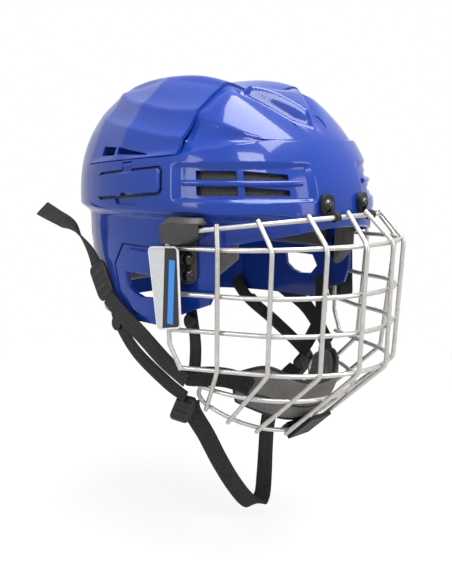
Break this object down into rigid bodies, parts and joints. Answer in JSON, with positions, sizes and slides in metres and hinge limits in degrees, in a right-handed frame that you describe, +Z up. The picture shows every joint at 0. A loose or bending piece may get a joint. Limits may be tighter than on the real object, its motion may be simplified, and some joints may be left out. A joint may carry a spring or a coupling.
{
  "type": "hockey helmet with a wire face cage",
  "caption": "Two-piece padded hockey helmet with a hinged wire face cage, chin cup, vented lobed shell, size latches, clips and webbing straps; worn on the head to guard skull and face.",
  "frame": {"origin": "middle of the head opening, on the ear line", "axes": "front of the face is -Y, wearer left is +X, up is +Z"},
  "size_m": [0.2192, 0.2839, 0.3546],
  "materials": {
    "shell": "glossy moulded blue",
    "wire": "satin silver coated wire",
    "pin": "plain steel",
    "plate": "light grey moulded",
    "foil": "printed foil, silver and black bands",
    "rubber": "matt black",
    "foam": "closed-cell foam, fine grain",
    "cup": "grey moulded, black piped edge",
    "screw": "gloss black",
    "fitting": "black moulded",
    "webbing": "black woven webbing"
  },
  "bodies": {
    "helmet": {"front_shell": "shell", "vent_screens": "fitting", "forehead_pad": "foam", "temple_pad_right": "foam", "temple_pad_left": "foam", "side_pad_right": "foam", "side_pad_left": "foam", "ear_guard_right": "shell", "ear_guard_left": "shell", "latch_pin_right": "pin", "latch_pin_left": "pin", "forehead_clip_right": "fitting", "forehead_clip_left": "fitting", "forehead_screw_right": "screw", "forehead_screw_left": "screw", "side_clip_right": "fitting", "side_clip_left": "fitting", "side_screws_right": "screw", "side_screws_left": "screw", "cage_strap_rear_right": "webbing", "cage_strap_rear_left": "webbing", "strap_buckle_right": "fitting", "strap_buckle_left": "fitting", "rear_leg_right": "webbing", "rear_leg_left": "webbing", "front_leg_right": "webbing", "front_leg_left": "webbing", "strap_snaps": "fitting", "chin_strap": "webbing", "slide_buckle": "fitting"},
    "rear": {"rear_shell": "shell", "crown_pad": "foam", "rear_pad": "foam"},
    "latch_body_right": {"latch_right": "shell"},
    "latch_body_left": {"latch_left": "shell"},
    "cage": {"cage_frame": "wire", "cage_cross_bars": "wire", "cage_chin_bar": "wire", "cage_uprights": "wire", "side_plate_right": "plate", "side_plate_left": "plate", "plate_foil_right": "foil", "plate_foil_left": "foil", "chin_cup": "cup", "chin_pad": "foam", "chin_tab": "rubber", "cage_strap_front_right": "webbing", "cage_strap_front_left": "webbing"}
  },
  "joints": [
    {"name": "cage_swing", "type": "hinge", "parent": "helmet", "child": "cage", "pos_m": [0, -0.12806, 0.06988], "axis": [-1, 0, 0], "range_deg": [0, 105]},
    {"name": "size_slide", "type": "slide", "parent": "helmet", "child": "rear", "axis": [0, 1, 0], "range_m": [0, 0.01]},
    {"name": "latch_turn_right", "type": "hinge", "parent": "helmet", "child": "latch_body_right", "pos_m": [-0.09347, 0.00641, 0.10435], "axis": [0, 0.9957, -0.0926], "range_deg": [0, 75]},
    {"name": "latch_turn_left", "type": "hinge", "parent": "helmet", "child": "latch_body_left", "pos_m": [0.09347, 0.00641, 0.10435], "axis": [0, -0.9957, 0.0926], "range_deg": [0, 75]}
  ]
}
